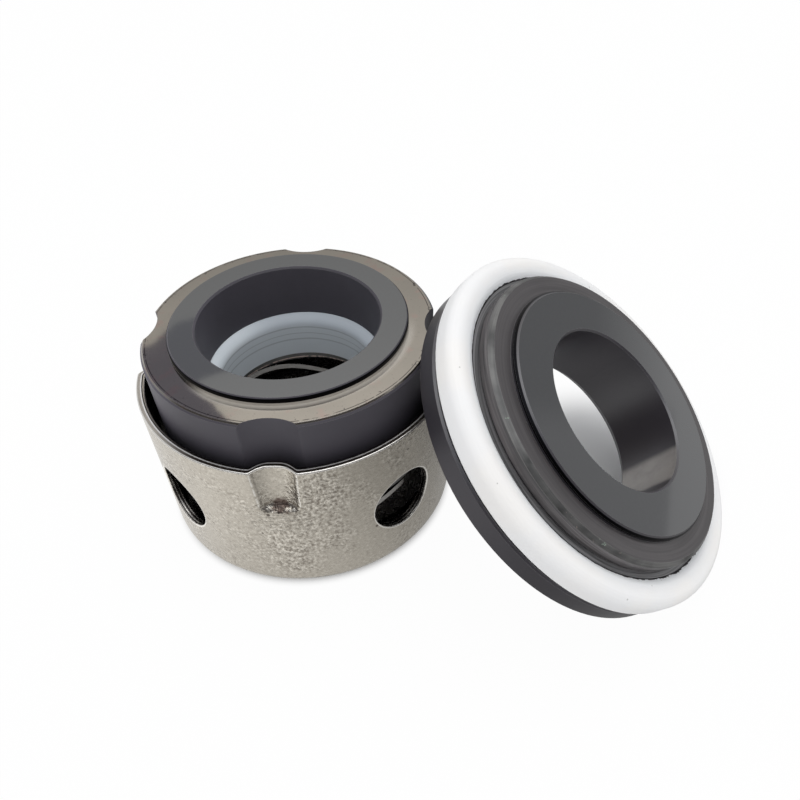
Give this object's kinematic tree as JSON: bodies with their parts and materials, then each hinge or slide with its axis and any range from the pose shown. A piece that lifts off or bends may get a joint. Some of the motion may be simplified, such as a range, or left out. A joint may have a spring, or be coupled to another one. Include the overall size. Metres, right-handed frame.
{
  "type": "component mechanical seal",
  "caption": "Spring-loaded rotary seal head in a dented steel retainer, with its stationary seat and PTFE ring leaning against it.",
  "frame": {"origin": "centre of the hole in the head's base, on the head's axis, at floor level", "axes": "+Z along the head's axis from its base to its sealing face; +X towards one drive dent and, nearly, towards the leaning seat"},
  "size_m": [0.0835, 0.056, 0.0361],
  "materials": {
    "stainless_steel": "deep-drawn stainless sheet, tumbled satin",
    "spring_steel": "rolled strip, bright",
    "silicon_carbide": "sintered silicon carbide, ground, faces lapped",
    "ptfe": "turned PTFE, waxy"
  },
  "bodies": {
    "retainer": {"retainer_shell": "stainless_steel", "wave_spring": "spring_steel", "stationary_seat": "silicon_carbide", "ptfe_seat_ring": "ptfe"},
    "floating_face": {"rotary_face_ring": "silicon_carbide", "ptfe_wedge": "ptfe", "thrust_ring": "stainless_steel"}
  },
  "joints": [
    {"name": "face_travel", "type": "slide", "parent": "retainer", "child": "floating_face", "axis": [0, 0, 1], "range_m": [-0.003, 0], "stiffness_N_per_m": 12000, "springref_m": 0.004, "deforming": ["wave_spring"]}
  ]
}
